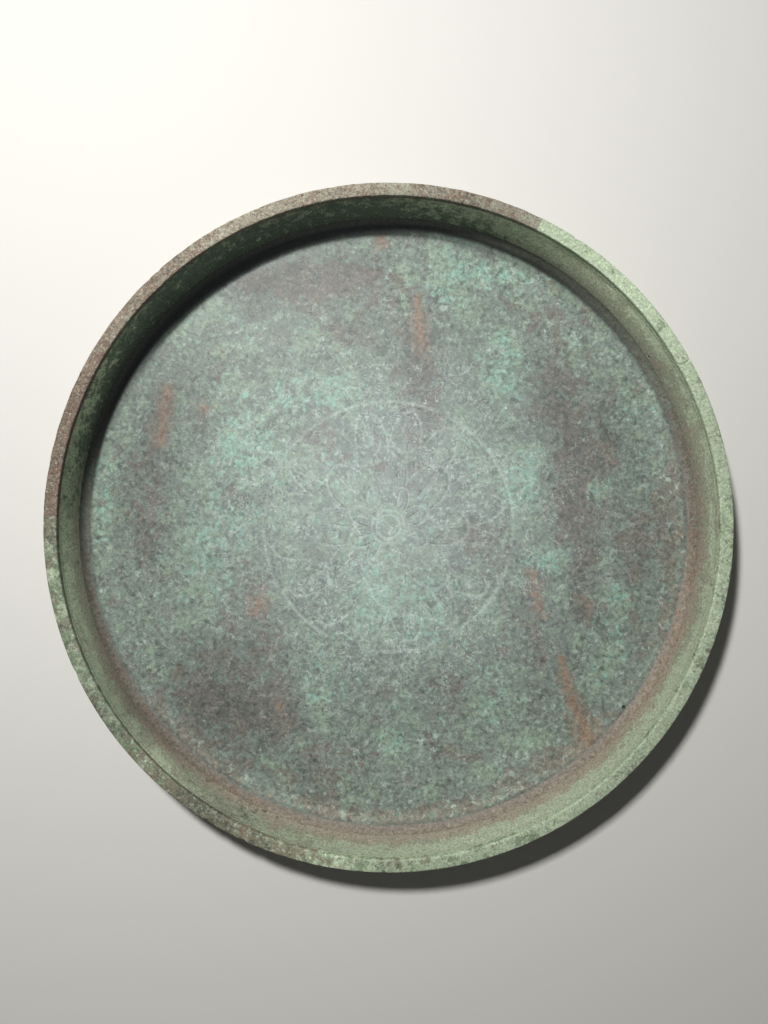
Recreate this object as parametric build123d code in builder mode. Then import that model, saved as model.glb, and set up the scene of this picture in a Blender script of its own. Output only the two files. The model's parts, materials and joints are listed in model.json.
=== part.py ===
"""Tam tam gong: a shallow bronze pan, lying on its face with the rim up.

A round face plate carries a rim wall that leans a little outwards. A braze bead runs round the
inside corner between the two. Two lengths of flat strip, butted end to end, cap the wall as the lip.
Two small holes take a hanging wire or cord, one through the edge of the face and one through the
foot of the wall.

Millimetres, +Z up, origin at the centre of the face plate's underside. Angles are counted from +X
towards +Y.
"""

from build123d import *
import os
from math import atan2, cos, degrees, radians, sin, tan

# Driving dimensions
lip_outer_radius = 250.0
overall_height = 41.5
lip_width = 9.8
lip_thickness = 5.0
lip_edge_radius = 1.2
lip_overhang_inside = 0.5
face_thickness = 3.5
face_edge_radius = 1.5
wall_thickness = 4.5
foot_inner_radius = 236.0
braze_leg = 5.0
lip_joint_angles = (63.5, 178.0)

# Hanging holes
hole_radius = 1.5
face_hole_distance = 229.0
face_hole_angle = -37.5
wall_hole_height = 11.0
wall_hole_angle = 33.0

# Worked out from the above
lip_underside = overall_height - lip_thickness
wall_top_inner_radius = lip_outer_radius - lip_width + lip_overhang_inside
wall_height = lip_underside - face_thickness
flare = atan2(wall_top_inner_radius - foot_inner_radius, wall_height)
wall_across = wall_thickness / cos(flare)
face_radius = foot_inner_radius + wall_across


def radial_plane(angle):
    """Upright plane through the gong's axis: its x runs outwards at the angle, its y runs up."""
    turn = radians(angle)
    return Plane(origin=(0, 0, 0), x_dir=(cos(turn), sin(turn), 0), z_dir=(sin(turn), -cos(turn), 0))


# Face plate: the round sheet that sounds, its lower edge rounded, with one hole near its edge
face_hole_turn = radians(face_hole_angle)
face_hole_x = face_hole_distance * cos(face_hole_turn)
face_hole_y = face_hole_distance * sin(face_hole_turn)
with BuildPart() as face_plate:
    with BuildSketch():
        Circle(face_radius)
    extrude(amount=face_thickness)
    fillet(face_plate.edges().group_by(Axis.Z)[0], radius=face_edge_radius)
    with Locations((face_hole_x, face_hole_y, face_thickness)):
        Hole(hole_radius, depth=face_thickness)
face_plate.part.label = "face_plate"

# Rim wall: a leaning ring that stands on the face plate's edge, with one hole square to its slope
wall_hole_turn = radians(wall_hole_angle)
wall_hole_distance = foot_inner_radius + (wall_hole_height - face_thickness) * tan(flare)
into_hollow = (
    -cos(flare) * cos(wall_hole_turn),
    -cos(flare) * sin(wall_hole_turn),
    sin(flare),
)
wall_hole_plane = Plane(
    origin=(
        wall_hole_distance * cos(wall_hole_turn),
        wall_hole_distance * sin(wall_hole_turn),
        wall_hole_height,
    ),
    z_dir=into_hollow,
)
with BuildPart() as rim_wall:
    with BuildSketch(Plane.XZ):
        with BuildLine():
            Polyline(
                (foot_inner_radius, face_thickness),
                (foot_inner_radius + wall_across, face_thickness),
                (wall_top_inner_radius + wall_across, lip_underside),
                (wall_top_inner_radius, lip_underside),
                close=True,
            )
        make_face()
    revolve(axis=Axis.Z)
    with BuildSketch(wall_hole_plane):
        Circle(hole_radius)
    extrude(amount=2 * wall_thickness, both=True, mode=Mode.SUBTRACT)
rim_wall.part.label = "rim_wall"

# Foot braze: a bead in the inside corner, with equal legs on the face and the wall and a flat open side
corner = Vector(foot_inner_radius, face_thickness)
along_face = Vector(-1, 0)
up_wall = Vector(sin(flare), cos(flare))
with BuildPart() as foot_braze:
    with BuildSketch(Plane.XZ):
        with BuildLine():
            Polyline(
                corner + along_face * braze_leg,
                corner,
                corner + up_wall * braze_leg,
                close=True,
            )
        make_face()
    revolve(axis=Axis.Z)
foot_braze.part.label = "foot_braze"


def lip_strip(start, end):
    """One length of the lip's flat strip, its corners worn round, bent between two joints."""
    with BuildPart() as strip:
        with BuildSketch(radial_plane(start)):
            with Locations((lip_outer_radius - lip_width / 2, overall_height - lip_thickness / 2)):
                RectangleRounded(lip_width, lip_thickness, lip_edge_radius)
        revolve(axis=Axis.Z, revolution_arc=end - start)
    return strip


# Lip: a short strip over the upper left, and a long one round the rest
lip_strip_short = lip_strip(lip_joint_angles[0], lip_joint_angles[1])
lip_strip_short.part.label = "lip_strip_short"
lip_strip_long = lip_strip(lip_joint_angles[1], lip_joint_angles[0] + 360)
lip_strip_long.part.label = "lip_strip_long"

os.makedirs("parts", exist_ok=True)
for piece in (face_plate, rim_wall, foot_braze, lip_strip_short, lip_strip_long):
    export_step(piece.part, f"parts/{piece.part.label}.step")

wall_hole_middle = wall_hole_plane.origin - wall_hole_plane.z_dir * (wall_thickness / 2)
print(f"wall leans {degrees(flare):.3f} degrees")
print("face hole centre", round(face_hole_x, 3), round(face_hole_y, 3))
print("wall hole middle", [round(c, 4) for c in wall_hole_middle])
print("wall hole axis", [round(c, 6) for c in wall_hole_plane.z_dir])
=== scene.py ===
"""Looks of the tam tam gong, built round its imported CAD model. Metres, +Z up, angles from +X to +Y."""

import json
import math

import bpy
import numpy as np
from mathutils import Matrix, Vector


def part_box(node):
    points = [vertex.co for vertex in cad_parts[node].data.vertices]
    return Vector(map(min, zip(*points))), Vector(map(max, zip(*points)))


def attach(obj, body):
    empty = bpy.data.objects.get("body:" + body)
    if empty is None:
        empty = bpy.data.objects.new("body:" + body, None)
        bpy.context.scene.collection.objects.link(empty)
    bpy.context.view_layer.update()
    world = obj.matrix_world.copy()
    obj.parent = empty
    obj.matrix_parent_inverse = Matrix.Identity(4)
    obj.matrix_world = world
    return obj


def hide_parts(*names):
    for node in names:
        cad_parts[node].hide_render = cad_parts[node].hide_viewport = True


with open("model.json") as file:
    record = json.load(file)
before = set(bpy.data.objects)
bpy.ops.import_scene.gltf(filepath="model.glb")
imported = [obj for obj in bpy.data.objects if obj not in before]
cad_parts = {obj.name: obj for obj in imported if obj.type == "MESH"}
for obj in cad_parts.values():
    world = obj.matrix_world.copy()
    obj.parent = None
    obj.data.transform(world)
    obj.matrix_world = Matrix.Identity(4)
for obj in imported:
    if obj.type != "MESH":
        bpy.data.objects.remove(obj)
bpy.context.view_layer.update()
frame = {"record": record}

MM = 0.001
TURN = 2 * math.pi

# Sizes read from the frame
FACE_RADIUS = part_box("face_plate")[1].x
FACE_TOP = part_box("face_plate")[1].z
WALL_TOP_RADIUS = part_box("rim_wall")[1].x
BEAD_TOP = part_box("foot_braze")[1].z
LIP_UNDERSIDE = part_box("lip_strip_long")[0].z
LIP_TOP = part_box("lip_strip_long")[1].z
LIP_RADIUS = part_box("lip_strip_long")[1].x
mounts = {mount["name"]: mount for mount in frame["record"]["mounts"]}
FACE_HOLE = mounts["hanging_hole_face"]
WALL_HOLE = mounts["hanging_hole_wall"]
HOLE_RADIUS = FACE_HOLE["dims"]["r_mm"] * MM

# Sizes that the frame's boxes don't give
FACE_EDGE_RADIUS = 1.5 * MM
WALL_ACROSS = 4.545 * MM
BEAD_LEG = 5 * MM
LIP_WIDTH = 9.8 * MM
LIP_JOINTS = (63.5, 178.0)
FLOWER_REACH = 105 * MM

# Worked out from the above
FOOT_RADIUS = FACE_RADIUS - WALL_ACROSS
BEAD_TOE_RADIUS = FOOT_RADIUS - BEAD_LEG
WALL_SLOPE = (WALL_TOP_RADIUS - FACE_RADIUS) / (LIP_UNDERSIDE - FACE_TOP)


# ---------------------------------------------------------------- arrays

def smooth(x, low, high):
    """0 below low, 1 above high, and 3t2 - 2t3 between, where t is the share of the way."""
    t = np.clip((x - low) / (high - low), 0, 1)
    return t * t * (3 - 2 * t)


def noise(points, size, seed, octaves=3):
    """Value noise from about -1 to 1: random lattice values a size apart, joined by smooth steps
    along each axis, plus octaves at half the size and half the height."""
    side = 32
    lattice = np.random.default_rng(seed).random((side, side, side)) * 2 - 1
    total = np.zeros(points.shape[:-1])
    for octave in range(octaves):
        p = points / size * 2**octave + 7.3 * octave
        cell = np.floor(p).astype(int)
        t = p - cell
        t = t * t * (3 - 2 * t)
        value = 0
        for corner in np.ndindex(2, 2, 2):
            at = (cell + corner) % side
            weight = np.where(corner, t, 1 - t).prod(axis=-1)
            value = value + lattice[at[..., 0], at[..., 1], at[..., 2]] * weight
        total += value / 2**octave
    return total


def blobs(x, y, spots):
    """Sum of soft round-ended patches: each (x, y, half width, half height, weight) in mm adds
    weight * exp(-(dx/w)^2 - (dy/h)^2)."""
    total = np.zeros(np.shape(x))
    for cx, cy, w, h, weight in spots:
        total += weight * np.exp(-((x / MM - cx) / w) ** 2 - ((y / MM - cy) / h) ** 2)
    return total


def streaks(x, y, lines):
    """Highest of soft strokes: each runs from (x0, y0) to (x1, y1) in mm, with half widths w0 and w1
    at its ends, and fades with distance from its line as exp(-(d/w)^2)."""
    total = np.zeros(np.shape(x))
    for x0, y0, x1, y1, w0, w1, weight in lines:
        dx, dy = x1 - x0, y1 - y0
        t = np.clip(((x / MM - x0) * dx + (y / MM - y0) * dy) / (dx * dx + dy * dy), 0, 1)
        away = np.hypot(x / MM - x0 - t * dx, y / MM - y0 - t * dy)
        total = np.maximum(total, weight * np.exp(-((away / (w0 + (w1 - w0) * t)) ** 2)))
    return total


def round_the_rim(angle, knots):
    """Straight runs between (degrees, value) knots, joined across 360 degrees."""
    at, value = np.array(knots, float).T
    return np.interp(np.degrees(angle) % 360, at, value, period=360)


def polar(radius, angle, height):
    """Points at a distance from the axis, an angle round it and a height."""
    return np.stack(np.broadcast_arrays(radius * np.cos(angle), radius * np.sin(angle), height), axis=-1)


def ring_quads(rows, columns, closed_rows, closed_columns=True):
    """Quads between neighbouring rows and columns, facing outwards where the rows go
    anticlockwise round a section with its radius to the right."""
    k = np.arange(rows if closed_rows else rows - 1)[:, None]
    j = np.arange(columns if closed_columns else columns - 1)[None, :]
    after_k, after_j = (k + 1) % rows, (j + 1) % columns
    corners = (k * columns + j, k * columns + after_j, after_k * columns + after_j, after_k * columns + j)
    return np.stack(np.broadcast_arrays(*corners), axis=-1)


def open_hole(quads, rows_a, rows_b, columns, count):
    """Takes a block of cells out of two facing sheets of one grid and joins the two edges with quads.
    rows_a, in rising order, and rows_b, in falling order, are the rows that face each other."""
    keep = np.ones(quads.shape[:2], bool)
    edges = []
    for rows in (rows_a, rows_b):
        rows = np.array(rows)
        at = columns % count
        keep[np.ix_(np.arange(rows.min(), rows.max()), at[:-1])] = False
        edges.append(np.concatenate([
            rows[0] * count + at[:-1],
            rows[:-1] * count + at[-1],
            rows[-1] * count + at[:0:-1],
            rows[:0:-1] * count + at[0],
        ]))
    a, b = edges
    bridge = np.stack([a, np.roll(a, -1), np.roll(b, -1), b], axis=-1)
    return np.concatenate([quads[keep], bridge])


def round_off(u, v, half_u, half_v, radius, reach=2.5):
    """Moves offsets (u, v) from a hole's middle so that the block edge, where max(|u/half_u|,
    |v/half_v|) is 1, lies on the hole's circle, and fades that move out at reach blocks."""
    m = np.maximum(np.abs(u / half_u), np.abs(v / half_v))
    away = np.maximum(np.hypot(u, v), 1e-9)
    share = 1 - smooth(m, 1.0, reach)
    scale = 1 - share + share * radius * np.maximum(m, 1e-6) / away
    return u * scale, v * scale


def piece(name, points, faces, fields, node, material, sharp=35):
    """A mesh object from arrays: points, faces, and one float attribute for each field. It rides on
    the gong and stands for the CAD node."""
    used = np.unique(np.concatenate([np.ravel(f) for f in faces]))
    lists = []
    for f in faces:
        lists += np.searchsorted(used, f).reshape(-1, f.shape[-1]).tolist()
    mesh = bpy.data.meshes.new(name)
    mesh.from_pydata(points.reshape(-1, 3)[used].tolist(), [], lists)
    for field, values in fields.items():
        attribute = mesh.attributes.new(field, "FLOAT", "POINT")
        attribute.data.foreach_set("value", np.ravel(values)[used].astype(np.float32))
    mesh.polygons.foreach_set("use_smooth", np.ones(len(mesh.polygons), bool))
    mesh.set_sharp_from_angle(angle=math.radians(sharp))
    mesh.materials.append(material)
    made = bpy.data.objects.new(name, mesh)
    bpy.context.scene.collection.objects.link(made)
    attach(made, "root")
    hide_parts(node)
    return made


# ---------------------------------------------------------------- materials

def linear(code):
    """Linear RGBA of an sRGB hex colour."""
    parts = [int(code[i : i + 2], 16) / 255 for i in (1, 3, 5)]
    return [*(c / 12.92 if c <= 0.04045 else ((c + 0.055) / 1.055) ** 2.4 for c in parts), 1.0]


def add(tree, kind, inputs, out=0, **settings):
    """Adds a node, sets its settings, links or fills its inputs, and returns one of its outputs."""
    made = tree.nodes.new("ShaderNode" + kind)
    for name, value in settings.items():
        setattr(made, name, value)
    for name, value in inputs.items():
        if isinstance(value, bpy.types.NodeSocket):
            tree.links.new(value, made.inputs[name])
        else:
            made.inputs[name].default_value = value
    return made.outputs[out]


# Copper salts bend light more than glass does, so a wide dull sheen stands over their colour
SALT_IOR = 1.75
# Fine scratches filled with pale salts: how far apart they swirl, half the width of one where its noise
# climbs at one per swirl, and how wide the patches are that they come in
THREAD_SWIRLS_MM = (13, 8, 5)
THREAD_HALF_MM = 0.10
THREAD_PATCH_MM = 9


def patina(name, ground, layers, thread, speck_mm, roughness, relief_mm, crackle_mm=0):
    """Bronze under mineral salts. Each layer (attribute, colour, cloud size in mm, shake, share) covers
    where its attribute plus shaken noise passes a half, so that its edges break up as grown salts do.
    Then come pale threads along the contour lines of a noise, as many as its "hair" says, its "cut" lines,
    and a grain of light and dark specks times a brightness factor, read from an attribute, that holds the
    thing's own lighter and darker stretches, dust and grime, and painted light and shade. Where that factor
    is low the place is also rougher, so it gives no sheen. Grains of salt are well under a millimetre
    across, too fine to show, so a speck is a clump of them, speck_mm across."""
    material = bpy.data.materials.new(name)
    material.use_nodes = True
    tree = material.node_tree
    tree.nodes.clear()
    place = add(tree, "TexCoord", {}, "Object")
    colour = linear(ground)
    for step, (field, code, cloud_mm, shake, share) in enumerate(layers):
        cloud = add(tree, "TexNoise", {
            "Vector": place,
            "W": 1.7 * step,
            "Scale": 1 / (cloud_mm * MM),
            "Detail": 7.0,
            "Roughness": 0.74,
            "Distortion": 0.3,
        }, "Fac", noise_dimensions="4D")
        amount = add(tree, "Attribute", {}, "Fac", attribute_name=field)
        spread = add(tree, "Math", {0: cloud, 1: shake, 2: amount}, operation="MULTIPLY_ADD")
        cover = add(tree, "MapRange", {
            "Value": spread,
            "From Min": 0.38 + shake / 2,
            "From Max": 0.62 + shake / 2,
            "To Max": share,
        }, interpolation_type="SMOOTHSTEP")
        colour = add(tree, "Mix", {"Factor": cover, "A": colour, "B": linear(code)}, "Result",
                     data_type="RGBA")

    hair = add(tree, "Attribute", {}, "Fac", attribute_name="hair")
    for step, swirl_mm in enumerate(THREAD_SWIRLS_MM):
        swirl = add(tree, "TexNoise", {
            "Vector": place,
            "W": 20.0 + step,
            "Scale": 1 / (swirl_mm * MM),
            "Detail": 1.5,
            "Distortion": 1.8,
        }, "Fac", noise_dimensions="4D")
        line = add(tree, "Math", {0: swirl, 1: 0.5, 2: THREAD_HALF_MM / swirl_mm}, operation="COMPARE")
        patch = add(tree, "TexNoise", {
            "Vector": place,
            "W": 30.0 + step,
            "Scale": 1 / (THREAD_PATCH_MM * MM),
        }, "Fac", noise_dimensions="4D")
        shown = add(tree, "MapRange", {"Value": patch, "From Min": 0.46, "From Max": 0.62})
        shown = add(tree, "Math", {0: line, 1: shown}, operation="MULTIPLY")
        shown = add(tree, "Math", {0: shown, 1: hair}, operation="MULTIPLY")
        colour = add(tree, "Mix", {"Factor": shown, "A": colour, "B": linear(thread)}, "Result",
                     data_type="RGBA")
    cut = add(tree, "Attribute", {}, "Fac", attribute_name="cut")
    colour = add(tree, "Mix", {"Factor": cut, "A": colour, "B": linear(thread)}, "Result", data_type="RGBA")

    specks = add(tree, "TexNoise", {
        "Vector": place,
        "Scale": 1 / (speck_mm * MM),
        "Detail": 5.0,
        "Roughness": 0.65,
        "Distortion": 0.6,
    }, "Fac")
    shade = add(tree, "MapRange", {
        "Value": specks,
        "From Min": 0.3,
        "From Max": 0.7,
        "To Min": 0.5,
        "To Max": 1.5,
    })
    # Brightness factor: the thing's own lighter and darker stretches, dust and grime, and painted light and
    # shade
    tone_and_painted_shade = add(tree, "Attribute", {}, "Fac", attribute_name="tone_and_painted_shade")
    shade = add(tree, "Math", {0: shade, 1: tone_and_painted_shade}, operation="MULTIPLY")
    colour = add(tree, "VectorMath", {0: colour, "Scale": shade}, "Vector", operation="SCALE")

    height = specks
    if crackle_mm:
        edge = add(tree, "TexVoronoi", {"Vector": place, "Scale": 1 / (crackle_mm * MM)}, "Distance",
                   feature="DISTANCE_TO_EDGE")
        plate = add(tree, "MapRange", {"Value": edge, "From Min": 0.02, "From Max": 0.10})
        height = add(tree, "Math", {0: specks, 1: plate}, operation="MULTIPLY")
    normal = add(tree, "Bump", {"Height": height, "Strength": 0.8, "Distance": relief_mm * MM})
    dull = add(tree, "MapRange", {
        "Value": specks,
        "From Min": 0.3,
        "From Max": 0.7,
        "To Min": roughness - 0.07,
        "To Max": roughness + 0.07,
    })
    # Rougher where that factor is low, the painted shade included, so no sheen shows there
    dull_where_darkened = add(tree, "MapRange", {
        "Value": tone_and_painted_shade,
        "From Min": 0.1,
        "From Max": 0.6,
        "To Min": 0.55,
        "To Max": 0.0,
    })
    dull = add(tree, "Math", {0: dull, 1: dull_where_darkened}, operation="ADD", use_clamp=True)
    surface = add(tree, "BsdfPrincipled", {
        "Base Color": colour,
        "Roughness": dull,
        "IOR": SALT_IOR,
        "Normal": normal,
    }, "BSDF")
    tree.links.new(surface, tree.nodes.new("ShaderNodeOutputMaterial").inputs["Surface"])
    return material


# ---------------------------------------------------------------- where the colours lie

# Green patches on the face, in mm from the axis: x, y, half width, half height, weight
TEAL = [
    (106, 36, 17, 34, 1.0), (90, 124, 17, 28, 0.9), (44, 190, 22, 26, 0.7), (96, 196, 32, 13, 0.7),
    (124, -22, 18, 12, 0.9), (162, 32, 14, 15, 0.9), (180, -52, 10, 14, 0.7), (-112, 164, 46, 22, 0.12),
    (-112, 62, 32, 32, 0.8), (-74, 104, 24, 20, 0.6), (-140, -28, 24, 42, 0.65), (-50, -124, 20, 24, 0.7),
    (-34, 104, 16, 14, 0.8), (-40, 40, 50, 44, 0.28), (8, -10, 46, 36, 0.32), (-16, -52, 30, 24, 0.7),
    (-222, 20, 9, 60, 0.6), (30, -70, 50, 30, 0.45), (0, -165, 28, 12, 0.5), (80, -130, 20, 24, 0.4),
    (-100, 10, 26, 30, 0.3), (60, 60, 22, 30, 0.3), (208, 60, 14, 50, 0.4), (165, -100, 28, 28, 0.3),
]
# Brown patches on the face, where the salts are thin
THIN = [
    (130, 98, 24, 34, 1.0), (142, 52, 18, 36, 0.9), (136, 8, 16, 26, 0.9), (168, 58, 11, 26, 0.9),
    (150, -52, 12, 30, 0.8), (24, 128, 16, 46, 0.9), (-14, 146, 24, 12, 0.6), (-80, 190, 58, 13, 1.0),
    (-40, 170, 30, 18, 0.5), (-124, -132, 44, 42, 1.0), (-84, -146, 16, 26, 0.8),
    (-60, -188, 16, 18, 0.7), (74, -8, 14, 18, 0.7), (82, -34, 14, 20, 0.6), (-182, 6, 20, 46, 0.5),
    (50, -122, 16, 11, 0.7), (204, -8, 20, 34, 0.7), (-60, 74, 26, 12, 0.6), (-112, 26, 22, 16, 0.5),
    (16, 40, 36, 14, 0.5), (-182, 60, 12, 34, 0.6), (-142, 84, 12, 26, 0.6), (30, 90, 14, 30, 0.6),
    (-30, -178, 30, 16, 0.4), (44, -180, 24, 14, 0.5), (-106, -74, 16, 22, 0.8), (120, -100, 18, 34, 0.5),
    (190, -40, 10, 40, 0.5), (110, 160, 30, 14, 0.4), (-52, 196, 40, 14, 0.5), (165, 0, 18, 18, 0.6),
    (92, -78, 6, 24, 0.5),
]
# Patches that make the face lighter where the weight is above 0 and darker where it is below 0, laid out
# likewise
FACE_LIGHTER_DARKER = [
    (-138, -138, 44, 40, -0.2), (-182, 62, 40, 58, -0.24), (30, -192, 80, 26, 0.24),
    (106, -178, 34, 24, 0.22), (138, 152, 32, 26, 0.16), (-102, 180, 34, 26, -0.28),
    (-208, 0, 12, 30, -0.12), (206, 30, 14, 40, 0.12), (180, 50, 26, 26, -0.12), (-48, -178, 26, 20, 0.1),
    (-40, 206, 44, 12, -0.16), (-172, 100, 24, 24, -0.16), (132, 90, 26, 36, -0.14),
    (104, 184, 22, 14, 0.12), (-138, -29, 24, 30, -0.1),
]
# Runs of rust down the face, in mm: x0, y0, x1, y1, half widths at each end, weight
RUNS = [
    (22, 176, 25, 142, 2.2, 3.2, 1.0), (-171, 105, -176, 66, 3.6, 3.0, 0.95),
    (-6.6, 222, -5, 220, 3.2, 3.2, 1.0), (-142, 94, -142, 88, 4, 4, 0.5),
    (111, -36, 117, -64, 2.6, 3.8, 0.8), (133, -101, 143, -138, 2, 3, 0.95),
    (143, -138, 155, -166, 3, 6, 0.95), (90, -57, 89, -97, 1.4, 2.2, 0.5),
    (-99, -57, -102, -66, 4.5, 3, 0.85), (123, 189, 126, 186, 5, 4, 0.45),
    (-84, -138, -80, -150, 5, 4, 0.5), (168, 62, 170, 50, 4, 4, 0.5), (150, -56, 156, -68, 4, 3, 0.55),
    (-184, 62, -188, 52, 3, 5, 0.45), (-170, -62, -174, -66, 4, 5, 0.4),
]
# The brown halo round each run: three times as wide
HALOS = [(*run[:4], 3 * run[4], 3 * run[5], run[6]) for run in RUNS]
# Colours along the wall, bead and lip: (degrees, amount)
FOOT_RUST = [
    (0, 0.75), (20, 0.35), (50, 0.1), (80, 0.0), (180, 0.0), (205, 0.3), (240, 0.6), (260, 0.8),
    (290, 0.75), (305, 0.6), (312, 0.4), (330, 0.5), (345, 0.75),
]
WALL_GREEN = [
    (0, 0.45), (40, 0.5), (60, 0.3), (100, 0.25), (150, 0.5), (190, 0.7), (215, 0.75), (228, 0.65),
    (240, 0.3), (262, 0.75), (300, 0.95), (330, 0.95), (350, 0.6),
]
WALL_BROWN = [
    (0, 0.8), (20, 0.6), (40, 0.3), (60, 0.15), (110, 0.15), (150, 0.5), (195, 0.5), (222, 0.9),
    (245, 0.9), (270, 0.9), (300, 0.85), (340, 0.9),
]
# Soot, with painted shade: thickest from 75 to 155 degrees, where the inside of the wall faces away from
# the key and lies in shade
WALL_SOOT_AND_SHADE = [
    (0, 0.1), (45, 0.05), (60, 0.3), (75, 0.6), (90, 0.8), (140, 0.9), (155, 0.75), (182, 0.35),
    (195, 0.2), (222, 0.15), (232, 0.35), (247, 0.4), (256, 0.2), (300, 0.1), (350, 0.1),
]
WALL_RUST = [
    (0, 0.4), (40, 0.1), (60, 0.0), (190, 0.0), (245, 0.3), (300, 0.3), (330, 0.55),
]
BEAD_GREEN = [
    (0, 0.25), (30, 0.7), (60, 1.1), (160, 1.1), (190, 0.55), (220, 0.15), (300, 0.1), (345, 0.1),
]
BEAD_BROWN = [
    (0, 0.7), (30, 0.3), (60, 0.0), (160, 0.0), (190, 0.4), (215, 0.85), (260, 0.9), (345, 0.9),
]
BEAD_RUST = [
    (0, 0.4), (20, 0.1), (35, 0.0), (190, 0.0), (215, 0.1), (246, 0.4), (262, 0.1), (300, 0.1),
    (318, 0.4), (330, 0.3), (345, 0.5),
]
TOE_DUST = [
    (0, 0.25), (30, 0.15), (60, 0.0), (190, 0.0), (215, 0.4), (250, 0.45), (270, 0.2), (345, 0.25),
]
# Brightness factors along the wall, bead, face edge and lip: (degrees, times the plain colour)
# Painted light and shade on the inside of the wall's foot: lightest from 75 to 120 degrees, where it lies
# in shade
WALL_FOOT_PAINTED_LIGHT = [
    (0, 0.68), (30, 0.92), (45, 1.15), (60, 1.3), (75, 2.0), (90, 2.8), (105, 2.4), (120, 2.6),
    (135, 1.4), (150, 0.8), (165, 1.15), (190, 1.1), (215, 0.55), (225, 0.62), (240, 1.25), (270, 1.0),
    (345, 0.85),
]
# Painted light and shade on the inside of the wall's top: lightest near 60 and 150 degrees, at the ends of
# the shaded arc
WALL_TOP_PAINTED_LIGHT = [
    (0, 1.1), (30, 1.3), (48, 2.4), (60, 2.8), (75, 1.9), (100, 1.6), (120, 1.8), (135, 1.4), (150, 2.9),
    (165, 1.8), (180, 1.7), (200, 1.15), (215, 0.8), (225, 1.3), (240, 0.8), (285, 1.02), (345, 0.92),
]
# Painted shade on the bead: darkest in the arc where the rim's shadow falls
BEAD_PAINTED_SHADE = [
    (0, 0.67), (15, 0.61), (30, 0.44), (45, 0.30), (60, 0.18), (75, 0.48), (90, 0.54), (105, 0.44),
    (120, 0.34), (135, 0.28), (150, 0.30), (165, 0.20), (180, 0.17), (195, 0.37), (210, 0.52),
    (225, 0.59), (240, 0.80), (255, 0.91), (270, 0.85), (315, 0.87), (330, 0.97), (345, 0.92),
]
# Painted shade at the bead's toe, likewise
TOE_PAINTED_SHADE = [
    (0, 0.63), (15, 0.50), (30, 0.38), (45, 0.20), (60, 0.06), (75, 0.05), (90, 0.15), (105, 0.16),
    (120, 0.07), (135, 0.06), (150, 0.02), (165, 0.04), (180, 0.36), (195, 0.45), (225, 0.55),
    (240, 0.60), (255, 0.70), (300, 0.76), (315, 0.66), (330, 0.73), (345, 0.83),
]
# The face's edge: painted shade from 90 to 130 degrees, paler with dust at most other angles
FACE_EDGE_DUST_AND_SHADE = [
    (0, 1.15), (15, 1.35), (30, 1.04), (45, 0.95), (90, 0.8), (130, 0.8), (165, 0.9), (180, 1.0),
    (210, 1.0), (225, 1.18), (240, 1.3), (260, 1.6), (290, 1.55), (315, 1.18), (345, 1.2),
]
# The lip's own lighter and darker stretches
LIP_TONE = [
    (0, 1.08), (15, 0.94), (30, 1.08), (45, 1.2), (62, 1.02), (66, 0.92), (75, 0.86), (90, 1.08),
    (120, 1.15), (140, 0.98), (165, 0.86), (200, 0.92), (212, 0.64), (225, 1.03), (240, 0.9), (258, 1.45),
    (270, 0.98), (300, 1.08), (315, 0.92), (330, 0.98), (345, 1.02),
]
LIP_GREEN = [
    (0, 0.7), (12, 0.75), (30, 0.85), (62, 0.9), (66, 0.5), (120, 0.45), (165, 0.25), (185, 0.45),
    (215, 0.5), (232, 0.2), (250, 0.25), (262, 0.6), (300, 0.7), (340, 0.7),
]
LIP_BROWN = [
    (0, 0.3), (30, 0.0), (62, 0.0), (66, 0.4), (120, 0.45), (158, 0.7), (176, 0.75), (185, 0.5),
    (215, 0.4), (232, 0.8), (250, 0.7), (262, 0.35), (300, 0.2), (340, 0.3),
]
LIP_DARK = [
    (0, 0.2), (60, 0.1), (70, 0.35), (175, 0.4), (200, 0.35), (225, 0.3), (234, 0.5), (246, 0.5),
    (260, 0.2), (350, 0.2),
]
LIP_RUST = [
    (0, 0.1), (60, 0.0), (70, 0.15), (160, 0.35), (175, 0.4), (190, 0.05), (240, 0.2), (245, 0.5),
    (250, 0.1),
]
# Painted shade in the face's corner, in the arc where the rim's shadow falls: (degrees, share of the light
# it takes)
FACE_EDGE_PAINTED_SHADE = [
    (0, 0.0), (45, 0.0), (60, 0.25), (75, 0.55), (90, 0.85), (105, 0.85), (120, 0.85), (135, 0.85),
    (150, 0.45), (165, 0.2), (180, 0.0),
]
# Chips in the lip's outer edge: degrees, half width in degrees, depth in mm
CHIPS = [
    (57, 0.35, 1.6), (245, 0.5, 1.0), (238, 0.4, 0.8), (205, 0.5, 0.6), (132, 0.4, 0.5),
]
# A crack across the lip's long length: degrees, half width in degrees, depth in mm
CRACK_AT = 29.0
CRACK_WIDTH = 0.16
CRACK_DEPTH = 1.1


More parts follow.
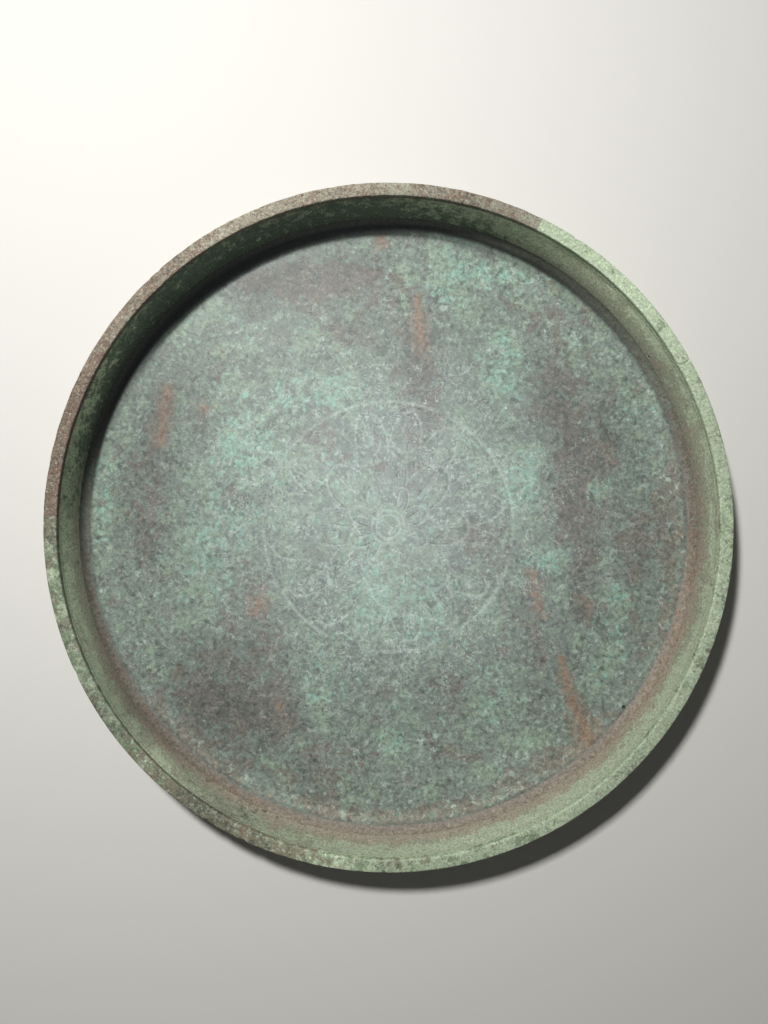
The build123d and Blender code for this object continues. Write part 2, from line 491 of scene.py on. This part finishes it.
def flower(x, y):
    """Cut lines of a plain lotus: petal outlines r = a + b |sin(n angle / 2)|, their midribs, and
    three rings. Each line is 1 at its middle and falls off as exp(-(d/w)^2)."""
    r, a = np.hypot(x, y) / MM, np.arctan2(y, x)
    cut = np.zeros(np.shape(x))
    half_line = 0.9
    for inner, height, count, phase in ((16, 16, 8, 0.0), (34, 28, 8, math.pi / 8), (60, 30, 16, 0.0)):
        half_turn = count * (a - phase) / 2
        edge = inner + height * np.abs(np.sin(half_turn)) ** 0.7
        steepness = 1 + (0.35 * height * count / np.maximum(r, 6) * np.cos(half_turn)) ** 2
        cut = np.maximum(cut, np.exp(-(((r - edge) / np.sqrt(steepness) / half_line) ** 2)))
        middle = (np.mod(a - phase, TURN / count) - math.pi / count) * r
        inside = smooth(r, inner - 6, inner) * (1 - smooth(r, inner + 0.6 * height, inner + 0.8 * height))
        for spread in (-0.16, 0.0, 0.16):
            rib = np.exp(-(((middle - spread * (r - inner)) / (0.6 * half_line)) ** 2))
            cut = np.maximum(cut, 0.75 * rib * inside)
    for ring in (9.0, 13.0, 96.0):
        cut = np.maximum(cut, np.exp(-(((r - ring) / half_line) ** 2)))
    return cut


# ---------------------------------------------------------------- the pieces

def face_plate(material):
    """Disc of rings and spokes: bottom out, edge up, top in. The top's height is the plate's, less the
    flower's cut, plus a low hammered waviness that dies out before the braze bead. A block of cells round
    the hanging hole is taken out of both sheets and drawn on to the hole's circle."""
    spokes = 560
    step = 1.2 * MM
    inner_rings = 7
    worn_mm, cut_mm, hollow_mm = 0.2, 0.22, 0.18
    hole = FACE_HOLE["pos_m"]
    hole_away, hole_turn = math.hypot(hole[0], hole[1]), math.atan2(hole[1], hole[0])
    block = np.arange(-2, 3)
    rings = hole_away + step * block
    under = np.concatenate([
        np.linspace(12 * MM, rings[0] - 3 * step, inner_rings),
        rings,
        np.linspace(rings[-1] + step, FACE_RADIUS - FACE_EDGE_RADIUS, 4),
    ])
    bend = np.linspace(0, math.pi / 2, 5)[1:]
    outer_rings = [FACE_RADIUS, FACE_RADIUS - 4 * MM, BEAD_TOE_RADIUS]
    over = np.concatenate([
        outer_rings,
        rings[::-1],
        np.arange(rings[0] - step, FLOWER_REACH, -2.2 * MM),
        np.arange(FLOWER_REACH, 1 * MM, -step),
    ])
    radius = np.concatenate([under, FACE_RADIUS - FACE_EDGE_RADIUS * (1 - np.sin(bend)), over])
    edge = len(under) + np.arange(len(bend))
    top = np.arange(len(radius)) > edge[-1]
    rows_under = inner_rings + np.arange(len(block))
    rows_over = edge[-1] + 1 + len(outer_rings) + np.arange(len(block))[::-1]

    angle = hole_turn + TURN / spokes * np.arange(spokes)
    swing = (angle - hole_turn + math.pi) % TURN - math.pi
    u, v = np.broadcast_arrays(radius[:, None] - hole_away, swing[None, :] * hole_away)
    u, v = round_off(u, v, 2 * step, 2 * TURN / spokes * hole_away, HOLE_RADIUS)
    flat = polar(hole_away + u, hole_turn + v / hole_away, 0.0)
    x, y = flat[..., 0], flat[..., 1]
    reach = np.hypot(x, y)
    calm = 1 - smooth(reach, 205 * MM, BEAD_TOE_RADIUS - 4 * MM)
    cut = flower(x, y) * np.clip(0.55 + 0.45 * noise(flat, 18 * MM, 5, 2), 0.1, 1) * top[:, None]
    wave = 0.15 * noise(flat, 55 * MM, 1, 2) + 0.03 * noise(flat, 7 * MM, 2, 2)
    top_z = FACE_TOP + calm * (wave - worn_mm - cut_mm * cut) * MM
    under_z = calm * (hollow_mm + 0.12 * noise(flat, 45 * MM, 3, 2)) * MM
    z = np.where(top[:, None], top_z, under_z)
    z[edge] = FACE_EDGE_RADIUS * (1 - np.cos(bend))[:, None]
    rows = len(radius)
    points = np.stack([x, y, z], axis=-1).reshape(-1, 3)
    middle_low, middle_high = len(points), len(points) + 1
    points = np.concatenate([points, [[0, 0, hollow_mm * MM], [0, 0, z[-1].mean()]]])
    quads = open_hole(ring_quads(rows, spokes, False), rows_under, rows_over, block, spokes)
    j = np.arange(spokes)
    last = (rows - 1) * spokes
    fan_low = np.stack([np.full(spokes, middle_low), (j + 1) % spokes, j], axis=-1)
    fan_high = np.stack([np.full(spokes, middle_high), last + j, last + (j + 1) % spokes], axis=-1)

    px, py = points[:, 0], points[:, 1]
    reach, turn = np.hypot(px, py), np.arctan2(py, px)
    is_top = points[:, 2] > FACE_TOP / 2
    teal, thin = blobs(px, py, TEAL) * is_top, blobs(px, py, THIN) * is_top
    foot = smooth(reach, 204 * MM, 226 * MM) * round_the_rim(turn, FOOT_RUST) * is_top
    tone_and_painted_shade = 1 + blobs(px, py, FACE_LIGHTER_DARKER)
    # Towards the edge: dust, and painted shade in the arc where the rim's shadow falls; at the toe, painted
    # shade likewise
    tone_and_painted_shade = tone_and_painted_shade + (round_the_rim(turn, FACE_EDGE_DUST_AND_SHADE) - tone_and_painted_shade) * smooth(reach, 215 * MM, 226 * MM)
    tone_and_painted_shade = tone_and_painted_shade * (1 - round_the_rim(turn, FACE_EDGE_PAINTED_SHADE) * smooth(reach, 221 * MM, 226 * MM))
    at_toe = smooth(reach, 227 * MM, BEAD_TOE_RADIUS)
    toe_dust = round_the_rim(turn, TOE_DUST) * np.exp(-(((reach - BEAD_TOE_RADIUS) / MM) ** 2)) * is_top
    tone_and_painted_shade = tone_and_painted_shade + (round_the_rim(turn, TOE_PAINTED_SHADE) - tone_and_painted_shade) * at_toe
    fields = {
        "pale": 0.36 + 0.55 * teal - 0.40 * thin - 0.40 * foot + 0.08 * noise(points, 40 * MM, 11, 3),
        "brown": 0.16 + 0.55 * thin - 0.25 * teal + 0.50 * foot + 0.08 * noise(points, 30 * MM, 12, 3),
        "dark": 0.22 + 0.22 * thin + 0.08 * noise(points, 30 * MM, 13, 3),
        "light": 0.22 + 0.12 * teal - 0.14 * thin,
        "fresh": 0.10 + 0.50 * teal - 0.30 * thin - 0.30 * foot + 0.06 * noise(points, 24 * MM, 14, 3),
        "halo": 0.9 * streaks(px, py, HALOS) * is_top + 0.45 * foot,
        "rust": 0.8 * streaks(px, py, RUNS) * is_top + 0.25 * foot,
        "cut": 0.55 * np.append(cut.ravel(), [0, 0]) + toe_dust,
        "hair": 0.25 + 0.45 * (1 - smooth(reach, 90 * MM, 170 * MM)),
        "tone_and_painted_shade": np.where(is_top, tone_and_painted_shade, 1),
    }
    return piece("face_plate_patina", points, [quads, fan_low, fan_high], fields, "face_plate",
                 material)


def rim_wall(material):
    """Leaning ring: outside up, inside down, each at the same heights. Its radius is the wall's straight
    slope plus a slow waviness that dies out at the foot and under the lip, where crust fills the
    corner."""
    spokes = 1000
    step = 1.3 * MM
    crust_thick, crust_tall = 0.4 * MM, 4 * MM
    hole, axis = WALL_HOLE["pos_m"], WALL_HOLE["axis"]
    hole_away, hole_turn = math.hypot(hole[0], hole[1]), math.atan2(hole[1], hole[0])
    lean = axis[2] / math.hypot(axis[0], axis[1])
    block = np.arange(-2, 3)
    rings = hole[2] + step * block
    foot_rings = [FACE_TOP, FACE_TOP + 2.5 * MM]
    height = np.concatenate([
        foot_rings,
        rings,
        np.linspace(rings[-1] + step, LIP_UNDERSIDE, 22),
    ])
    rows = 2 * len(height)
    side = np.repeat([1.0, 0.0], len(height))[:, None]
    level = np.concatenate([height, height[::-1]])[:, None]
    angle = hole_turn + TURN / spokes * np.arange(spokes)
    swing = (angle - hole_turn + math.pi) % TURN - math.pi
    u, v = np.broadcast_arrays(level - hole[2], swing[None, :] * hole_away)
    u, v = round_off(u, v, 2 * step, 2 * TURN / spokes * hole_away, HOLE_RADIUS)
    near = 1 - smooth(np.hypot(u, v), HOLE_RADIUS, 6 * MM)
    z = hole[2] + u - near * (side - 0.5) * WALL_ACROSS * lean
    turn = hole_turn + v / hole_away
    inner = FOOT_RADIUS + (z - FACE_TOP) * WALL_SLOPE
    flat = polar(inner, turn, z)
    above_bead = smooth(z, BEAD_TOP - 1 * MM, BEAD_TOP + 8 * MM)
    below_lip = 1 - smooth(z, LIP_UNDERSIDE - 6 * MM, LIP_UNDERSIDE)
    ripple = 0.30 * noise(flat, 50 * MM, 21, 2) + 0.10 * noise(flat, 9 * MM, 22, 3)
    wave = above_bead * below_lip * ripple * MM
    crust = (1 - side) * crust_thick * smooth(z, LIP_UNDERSIDE - crust_tall, LIP_UNDERSIDE)
    points = polar(inner + side * WALL_ACROSS + wave - crust, turn, z)
    rows_outside = len(foot_rings) + np.arange(len(block))
    quads = open_hole(ring_quads(rows, spokes, True), rows_outside, rows - 1 - rows_outside, block, spokes)

    share = (z - FACE_TOP) / (LIP_UNDERSIDE - FACE_TOP)
    inside = side < 0.5
    shake = noise(points, 22 * MM, 23, 3)
    green = round_the_rim(turn, WALL_GREEN) * (0.30 + 0.80 * smooth(share, 0.2, 0.9))
    brown = round_the_rim(turn, WALL_BROWN) * (0.95 - 0.95 * smooth(share, 0.2, 0.8))
    # Soot, and painted shade in the arc where the wall is in shade
    soot_and_shade = round_the_rim(turn, WALL_SOOT_AND_SHADE) * np.where(inside, 1.15 - 0.4 * share, 0.4)
    # Painted light and shade along the inside, from foot to top
    foot_painted_shading, top_painted_shading = round_the_rim(turn, WALL_FOOT_PAINTED_LIGHT), round_the_rim(turn, WALL_TOP_PAINTED_LIGHT)
    wall_painted_shading = foot_painted_shading + (top_painted_shading - foot_painted_shading) * smooth(share, 0.0, 0.8)
    rust = round_the_rim(turn, WALL_RUST) * (1 - smooth(share, 0.1, 0.45))
    fields = {
        "pale": np.where(inside, green, 0.4) + 0.12 * shake,
        "brown": np.where(inside, brown, 0.35) + 0.12 * shake,
        "dark": 0.10 + 0.70 * soot_and_shade,
        "light": np.full(z.shape, 0.25),
        "rust": np.where(inside, rust, 0.15),
        "hair": np.full(z.shape, 0.15),
        "tone_and_painted_shade": np.where(inside, wall_painted_shading, 1),
    }
    return piece("rim_wall_patina", points, [quads], fields, "rim_wall", material)


def foot_braze(material):
    """Bead in the corner of face and wall: its hidden legs are straight, and its open face is the
    quadratic curve from top to toe, pulled in towards the corner, with low lumps along it."""
    spokes = 900
    lean = math.atan(WALL_SLOPE)
    corner = np.array([FOOT_RADIUS, FACE_TOP])
    toe = corner - [BEAD_LEG, 0]
    top = corner + BEAD_LEG * np.array([math.sin(lean), math.cos(lean)])
    hollow = 0.45
    pull = hollow * corner + (1 - hollow) / 2 * (toe + top)
    t = np.linspace(0, 1, 11)[1:-1, None]
    open_face = (1 - t) ** 2 * top + 2 * t * (1 - t) * pull + t**2 * toe
    section = np.concatenate([[toe, corner, top], open_face])
    lump = np.concatenate([[0, 0, 0], np.sin(math.pi * t[:, 0])])[:, None]
    angle = (TURN / spokes * np.arange(spokes))[None, :]
    flat = polar(section[:, :1], angle, section[:, 1:])
    rise = lump * (0.28 * noise(flat, 14 * MM, 31, 2) + 0.12 * noise(flat, 4 * MM, 32, 2)) * MM
    points = polar(section[:, :1] - rise * math.sqrt(0.5), angle, section[:, 1:] + rise * math.sqrt(0.5))
    turn = np.broadcast_to(angle, rise.shape)
    shake = noise(points, 12 * MM, 33, 3)
    reach = np.hypot(points[..., 0], points[..., 1])
    # Painted shade on the bead and its toe, darkest in the arc where the rim's shadow falls
    toe_painted_shading, foot_painted_shading = round_the_rim(turn, TOE_PAINTED_SHADE), round_the_rim(turn, BEAD_PAINTED_SHADE)
    fields = {
        "pale": round_the_rim(turn, BEAD_GREEN) + 0.15 * shake,
        "brown": round_the_rim(turn, BEAD_BROWN) + 0.10 * shake,
        "dark": 0.25 + 0.15 * shake,
        "light": np.full(rise.shape, 0.35),
        "rust": round_the_rim(turn, BEAD_RUST) + 0.10 * shake,
        "hair": np.full(rise.shape, 0.15),
        "tone_and_painted_shade": toe_painted_shading + (foot_painted_shading - toe_painted_shading) * smooth(reach, BEAD_TOE_RADIUS, FOOT_RADIUS),
    }
    return piece("foot_braze_oxide", points, [ring_quads(len(section), spokes, True)], fields, "foot_braze",
                 material)


def lip_strip(name, node, material, start, end, crust_mm):
    """Flat strip bent round the rim from start to end degrees. Its section is the superellipse
    u = a sign(cos) |cos|^p, v = b sign(sin) |sin|^p, with p smallest below, where it sits on the wall, and
    largest at its top inner edge. Noise, chips and a crack eat it inwards along its own normal."""
    across, up = LIP_WIDTH / 2, (LIP_TOP - LIP_UNDERSIDE) / 2
    rows = 56
    t = (TURN / rows * np.arange(rows))[:, None]
    squareness = np.where(np.sin(t) > 0, np.where(np.cos(t) > 0, 0.30, 0.42), 0.12)
    u = across * np.sign(np.cos(t)) * np.abs(np.cos(t)) ** squareness
    v = up * np.sign(np.sin(t)) * np.abs(np.sin(t)) ** squareness
    spoke_step = 0.7 * MM
    spokes = int(math.radians(end - start) * LIP_RADIUS / spoke_step)
    angle = np.radians(np.linspace(start, end, spokes))[None, :]
    degrees = np.degrees(angle) % 360
    middle_r, middle_z = LIP_RADIUS - across, (LIP_TOP + LIP_UNDERSIDE) / 2
    flat = polar(middle_r + u, angle, middle_z + v)
    eaten = crust_mm * (0.5 + 0.5 * noise(flat, 5 * MM, 41, 3)) + 0.06 * (1 + noise(flat, 30 * MM, 42, 2))
    for at, width, depth in CHIPS:
        eaten = eaten + depth * smooth(np.cos(t), 0.2, 0.9) * np.exp(-(((degrees - at) / width) ** 2))
    crack = CRACK_AT + 0.5 * np.sin(t) + 0.5 * np.cos(2 * t)
    across_crack = np.exp(-(((degrees - crack) / CRACK_WIDTH) ** 2))
    eaten = eaten + CRACK_DEPTH * smooth(np.sin(t), 0.0, 0.3) * across_crack
    eaten = np.clip(eaten, 0, 2.5) * MM
    out_u, out_v = np.cos(t) / across, np.sin(t) / up
    length = np.hypot(out_u, out_v)
    points = polar(middle_r + u - eaten * out_u / length, angle, middle_z + v - eaten * out_v / length)
    quads = ring_quads(rows, spokes, True, closed_columns=False)
    caps = np.stack([np.arange(rows) * spokes, (np.arange(rows) * spokes + spokes - 1)[::-1]])

    turn = np.broadcast_to(angle, eaten.shape)
    shake = noise(points, 20 * MM, 43, 3)
    fields = {
        "pale": round_the_rim(turn, LIP_GREEN) + 0.12 * shake,
        "brown": round_the_rim(turn, LIP_BROWN) + 0.12 * shake,
        "dark": round_the_rim(turn, LIP_DARK) + 0.10 * shake,
        "light": np.full(eaten.shape, 0.3),
        "rust": round_the_rim(turn, LIP_RUST) + 0.08 * shake,
        "hair": np.full(eaten.shape, 0.2),
        "tone_and_painted_shade": round_the_rim(turn, LIP_TONE),
    }
    return piece(name, points, [quads, caps], fields, node, material)


# Layers are (attribute, colour, cloud size in mm, shake, share)

# Cast bronze face under verdigris: blue-green clouds of salts over grey, brown where they are rubbed thin
face_finish = patina(
    "mottled_verdigris_on_cast_bronze",
    "#707b70",
    [
        ("pale", "#83967f", 22, 4.4, 0.65),
        ("fresh", "#82ab99", 7.0, 3.6, 0.7),
        ("brown", "#6d665b", 16, 3.6, 0.8),
        ("dark", "#50564d", 8.0, 3.6, 0.7),
        ("light", "#a3b3a6", 6.0, 3.4, 0.6),
        ("halo", "#7f7262", 6.0, 2.6, 0.7),
        ("rust", "#8c7058", 4.5, 2.4, 0.7),
    ],
    thread="#b6c4ba", speck_mm=3.4, roughness=0.40, relief_mm=0.22)
# Turned bronze wall: pale green salts near the lip, buff and brown at the foot, and a dark green layer of
# soot and painted shade in the shaded arc
wall_finish = patina(
    "green_salts_on_turned_bronze",
    "#999c87",
    [
        ("pale", "#b0bba0", 16, 3.4, 0.8),
        ("brown", "#a49687", 12, 3.4, 0.8),
        ("dark", "#31463a", 7.0, 1.8, 0.85),
        ("light", "#aebaa0", 2.6, 2.6, 0.6),
        ("rust", "#9c6a4a", 6.0, 1.8, 0.7),
    ],
    thread="#b9c3ae", speck_mm=1.6, roughness=0.55, relief_mm=0.3)
# Brazing metal gone to brown oxide: dull, lumpy and a little redder than its neighbours
bead_finish = patina(
    "brown_oxide_on_brazing_metal",
    "#8f8d80",
    [
        ("pale", "#98a290", 12, 3.0, 0.7),
        ("brown", "#8e8172", 10, 3.0, 0.8),
        ("dark", "#6a6256", 4.0, 2.6, 0.5),
        ("light", "#aca695", 3.4, 2.6, 0.5),
        ("rust", "#957860", 6.0, 2.6, 0.5),
    ],
    thread="#b9ad9c", speck_mm=2.0, roughness=0.55, relief_mm=0.3)
# Bronze strip under a buff mineral crust: dry, cracked into small plates
short_lip_finish = patina(
    "buff_crust_on_bronze_strip",
    "#8b8372",
    [
        ("pale", "#999b88", 9, 3.0, 0.7),
        ("brown", "#7d6a5a", 8, 3.0, 0.8),
        ("dark", "#4f463c", 2.4, 2.6, 0.7),
        ("light", "#bdb5a4", 2.4, 2.6, 0.7),
        ("rust", "#84634f", 4.0, 1.8, 0.6),
    ],
    thread="#d0c8b6", speck_mm=1.4, roughness=0.66, relief_mm=0.5, crackle_mm=2.6)
# Bronze strip under pale verdigris: smoother, worn by hands, dark in the pits
long_lip_finish = patina(
    "pale_verdigris_on_bronze_strip",
    "#7a8a6c",
    [
        ("pale", "#acbb9c", 10, 3.0, 0.85),
        ("brown", "#756a58", 9, 3.0, 0.8),
        ("dark", "#4c5142", 5.0, 3.2, 0.7),
        ("light", "#bccab0", 4.0, 3.2, 0.5),
        ("rust", "#9c7053", 4.0, 1.8, 0.6),
    ],
    thread="#d3dccb", speck_mm=1.4, roughness=0.55, relief_mm=0.4)

face_plate(face_finish)
rim_wall(wall_finish)
foot_braze(bead_finish)
lip_strip("lip_strip_short_crust", "lip_strip_short", short_lip_finish,
          start=LIP_JOINTS[0], end=LIP_JOINTS[1], crust_mm=0.45)
lip_strip("lip_strip_long_patina", "lip_strip_long", long_lip_finish,
          start=LIP_JOINTS[1], end=LIP_JOINTS[0] + 360, crust_mm=0.16)


# ---------------------------------------------------------------- floor, lights and camera

FLOOR_REACH = 3
floor_corners = [(x * FLOOR_REACH, y * FLOOR_REACH, 0) for x, y in ((-1, -1), (1, -1), (1, 1), (-1, 1))]
floor_mesh = bpy.data.meshes.new("floor")
floor_mesh.from_pydata(floor_corners, [], [(0, 1, 2, 3)])
floor = bpy.data.objects.new("floor", floor_mesh)
bpy.context.scene.collection.objects.link(floor)
# Sheet of matt paper: pale and even, with no gloss to catch the lamps
paper = bpy.data.materials.new("pale_paper")
paper.use_nodes = True
paper.node_tree.nodes["Principled BSDF"].inputs["Base Color"].default_value = linear("#d8d6d0")
paper.node_tree.nodes["Principled BSDF"].inputs["Roughness"].default_value = 0.9
floor_mesh.materials.append(paper)


def lamp(name, place, aim, size, power, tint="#ffffff", glossy=True, diffuse=True):
    """Square soft light that faces its aim. One that isn't glossy gives no sheen, and one that isn't
    diffuse gives nothing else."""
    data = bpy.data.lights.new(name, "AREA")
    data.size, data.energy = size, power
    data.color = linear(tint)[:3]
    made = bpy.data.objects.new(name, data)
    bpy.context.scene.collection.objects.link(made)
    made.location = place
    made.visible_glossy = glossy
    made.visible_diffuse = diffuse
    made.rotation_euler = (Vector(aim) - Vector(place)).to_track_quat("-Z", "Y").to_euler()


# The key is two lamps in one place, so that its sheen can be weaker than its light
KEY_PLACE = (-0.310, 0.560, 1.01)
lamp("key", KEY_PLACE, (0, 0, 0), size=0.12, power=14.4, glossy=False)
lamp("key_sheen", KEY_PLACE, (0, 0, 0), size=0.12, power=2.5)
# The sheen in the middle of the face
SHEEN_PLACE, SHEEN_AIM = (-0.015, 0.074, 1.6), (-0.015, 0.074, 0)
lamp("overhead", SHEEN_PLACE, SHEEN_AIM, size=0.40, power=8.5, tint="#eff5ff", diffuse=False)
world = bpy.data.worlds.new("room")
world.use_nodes = True
world.node_tree.nodes["Background"].inputs["Color"].default_value = linear("#ffffff")
world.node_tree.nodes["Background"].inputs["Strength"].default_value = 0.055
bpy.context.scene.world = world
bpy.context.scene.view_settings.view_transform = "Standard"

# The camera looks straight down into the gong, a little off its axis
CAMERA_ABOVE_LIP = 0.5556
camera_data = bpy.data.cameras.new("camera")
camera_data.lens = 27.03
camera_data.sensor_width = 36
camera = bpy.data.objects.new("camera", camera_data)
bpy.context.scene.collection.objects.link(camera)
camera.location = (-0.0033, 0.0112, LIP_TOP + CAMERA_ABOVE_LIP)
bpy.context.scene.camera = camera
